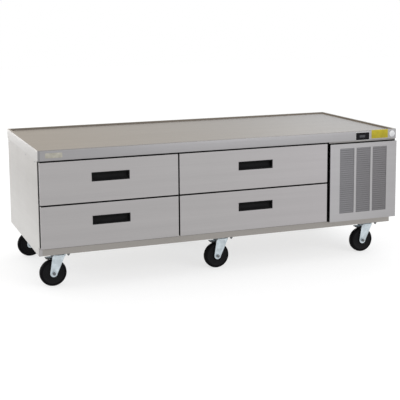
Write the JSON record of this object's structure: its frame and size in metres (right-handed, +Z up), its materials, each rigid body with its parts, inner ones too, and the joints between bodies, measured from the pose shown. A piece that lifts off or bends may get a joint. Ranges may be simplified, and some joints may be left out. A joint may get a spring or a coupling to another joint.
{
  "type": "refrigerated chef base",
  "caption": "Low refrigerated equipment stand with sliding drawers for food pans, a raised-rim top, a louvred machine bay at one end and braked swivel casters.",
  "frame": {"origin": "on the floor, under the middle of the stand's width and depth", "axes": "+X along the stand's width, towards the machine bay; +Y from the drawer fronts to the back; +Z up"},
  "size_m": [1.854, 0.816, 0.66],
  "materials": {
    "stainless": "satin",
    "liner_steel": "satin",
    "zinc": "satin",
    "black_plastic": "matte",
    "gasket_vinyl": "matte",
    "wheel_rubber": "satin",
    "insulation": "matte",
    "line_foam": "matte",
    "black_paint": "satin",
    "aluminium": "satin"
  },
  "bodies": {
    "cabinet": {"worktop": "stainless", "cabinet_insulation": "insulation", "left_side_panel": "stainless", "right_side_panel": "stainless", "back_panel": "stainless", "base_pan": "stainless", "interior_liner": "liner_steel", "face_frame": "stainless", "left_track_frame": "liner_steel", "center_track_frame": "liner_steel", "right_track_frame": "liner_steel", "bay_bulkhead": "stainless", "louvre_panel": "stainless", "temperature_controller": "black_plastic", "condensing_unit_tray": "zinc", "compressor": "black_paint", "condenser_coil": "aluminium", "condenser_fan_shroud": "black_paint", "condensate_pan": "liner_steel", "control_box": "aluminium", "power_cord_gland": "black_plastic", "suction_line": "line_foam", "evaporator_coil": "aluminium", "evaporator_cover": "liner_steel", "caster_mount_left": "zinc", "caster_mount_middle": "zinc", "caster_mount_right": "zinc"},
    "upper_left_drawer": {"upper_left_drawer_front": "stainless", "upper_left_drawer_pull": "black_plastic", "upper_left_drawer_gasket": "gasket_vinyl", "upper_left_drawer_cradle": "liner_steel"},
    "upper_right_drawer": {"upper_right_drawer_front": "stainless", "upper_right_drawer_pull": "black_plastic", "upper_right_drawer_gasket": "gasket_vinyl", "upper_right_drawer_cradle": "liner_steel"},
    "lower_left_drawer": {"lower_left_drawer_front": "stainless", "lower_left_drawer_pull": "black_plastic", "lower_left_drawer_gasket": "gasket_vinyl", "lower_left_drawer_cradle": "liner_steel"},
    "lower_right_drawer": {"lower_right_drawer_front": "stainless", "lower_right_drawer_pull": "black_plastic", "lower_right_drawer_gasket": "gasket_vinyl", "lower_right_drawer_cradle": "liner_steel"},
    "fork_front_left": {"caster_fork_front_left": "zinc"},
    "fork_front_middle": {"caster_fork_front_middle": "zinc"},
    "fork_front_right": {"caster_fork_front_right": "zinc"},
    "fork_rear_left": {"caster_fork_rear_left": "zinc"},
    "fork_rear_middle": {"caster_fork_rear_middle": "zinc"},
    "fork_rear_right": {"caster_fork_rear_right": "zinc"},
    "wheel_front_left": {"caster_wheel_front_left": "wheel_rubber"},
    "wheel_front_middle": {"caster_wheel_front_middle": "wheel_rubber"},
    "wheel_front_right": {"caster_wheel_front_right": "wheel_rubber"},
    "wheel_rear_left": {"caster_wheel_rear_left": "wheel_rubber"},
    "wheel_rear_middle": {"caster_wheel_rear_middle": "wheel_rubber"},
    "wheel_rear_right": {"caster_wheel_rear_right": "wheel_rubber"},
    "brake_left": {"brake_pedal_left": "black_paint"},
    "brake_middle": {"brake_pedal_middle": "black_paint"},
    "brake_right": {"brake_pedal_right": "black_paint"},
    "condenser_fan_rotor": {"condenser_fan": "aluminium"},
    "evaporator_fan_rotor": {"evaporator_fan": "black_plastic"}
  },
  "joints": [
    {"name": "upper_left_drawer_slide", "type": "slide", "parent": "cabinet", "child": "upper_left_drawer", "axis": [0, -1, 0], "range_m": [0, 0.5]},
    {"name": "upper_right_drawer_slide", "type": "slide", "parent": "cabinet", "child": "upper_right_drawer", "axis": [0, -1, 0], "range_m": [0, 0.5]},
    {"name": "lower_left_drawer_slide", "type": "slide", "parent": "cabinet", "child": "lower_left_drawer", "axis": [0, -1, 0], "range_m": [0, 0.5]},
    {"name": "lower_right_drawer_slide", "type": "slide", "parent": "cabinet", "child": "lower_right_drawer", "axis": [0, -1, 0], "range_m": [0, 0.5]},
    {"name": "swivel_front_left", "type": "hinge", "parent": "cabinet", "child": "fork_front_left", "pos_m": [-0.82, -0.29, 0.1425], "axis": [0, 0, 1], "continuous": true},
    {"name": "swivel_front_middle", "type": "hinge", "parent": "cabinet", "child": "fork_front_middle", "pos_m": [0, -0.29, 0.1425], "axis": [0, 0, 1], "continuous": true},
    {"name": "swivel_front_right", "type": "hinge", "parent": "cabinet", "child": "fork_front_right", "pos_m": [0.82, -0.29, 0.1425], "axis": [0, 0, 1], "continuous": true},
    {"name": "swivel_rear_left", "type": "hinge", "parent": "cabinet", "child": "fork_rear_left", "pos_m": [-0.82, 0.29, 0.1425], "axis": [0, 0, 1], "continuous": true},
    {"name": "swivel_rear_middle", "type": "hinge", "parent": "cabinet", "child": "fork_rear_middle", "pos_m": [0, 0.29, 0.1425], "axis": [0, 0, 1], "continuous": true},
    {"name": "swivel_rear_right", "type": "hinge", "parent": "cabinet", "child": "fork_rear_right", "pos_m": [0.82, 0.29, 0.1425], "axis": [0, 0, 1], "continuous": true},
    {"name": "spin_front_left", "type": "hinge", "parent": "fork_front_left", "child": "wheel_front_left", "pos_m": [-0.85, -0.29, 0.0635], "axis": [0, 1, 0], "continuous": true},
    {"name": "spin_front_middle", "type": "hinge", "parent": "fork_front_middle", "child": "wheel_front_middle", "pos_m": [-0.03, -0.29, 0.0635], "axis": [0, 1, 0], "continuous": true},
    {"name": "spin_front_right", "type": "hinge", "parent": "fork_front_right", "child": "wheel_front_right", "pos_m": [0.79, -0.29, 0.0635], "axis": [0, 1, 0], "continuous": true},
    {"name": "spin_rear_left", "type": "hinge", "parent": "fork_rear_left", "child": "wheel_rear_left", "pos_m": [-0.85, 0.29, 0.0635], "axis": [0, 1, 0], "continuous": true},
    {"name": "spin_rear_middle", "type": "hinge", "parent": "fork_rear_middle", "child": "wheel_rear_middle", "pos_m": [-0.03, 0.29, 0.0635], "axis": [0, 1, 0], "continuous": true},
    {"name": "spin_rear_right", "type": "hinge", "parent": "fork_rear_right", "child": "wheel_rear_right", "pos_m": [0.79, 0.29, 0.0635], "axis": [0, 1, 0], "continuous": true},
    {"name": "brake_hinge_left", "type": "hinge", "parent": "fork_front_left", "child": "brake_left", "pos_m": [-0.852, -0.29, 0.1355], "axis": [0, -1, 0], "range_deg": [0, 13]},
    {"name": "brake_hinge_middle", "type": "hinge", "parent": "fork_front_middle", "child": "brake_middle", "pos_m": [-0.032, -0.29, 0.1355], "axis": [0, -1, 0], "range_deg": [0, 13]},
    {"name": "brake_hinge_right", "type": "hinge", "parent": "fork_front_right", "child": "brake_right", "pos_m": [0.788, -0.29, 0.1355], "axis": [0, -1, 0], "range_deg": [0, 13]},
    {"name": "condenser_fan_spin", "type": "hinge", "parent": "cabinet", "child": "condenser_fan_rotor", "pos_m": [0.727, -0.1867, 0.3166], "axis": [0, 1, 0], "continuous": true},
    {"name": "evaporator_fan_spin", "type": "hinge", "parent": "cabinet", "child": "evaporator_fan_rotor", "pos_m": [0.16, 0.2697, 0.411], "axis": [0, 1, 0], "continuous": true}
  ]
}
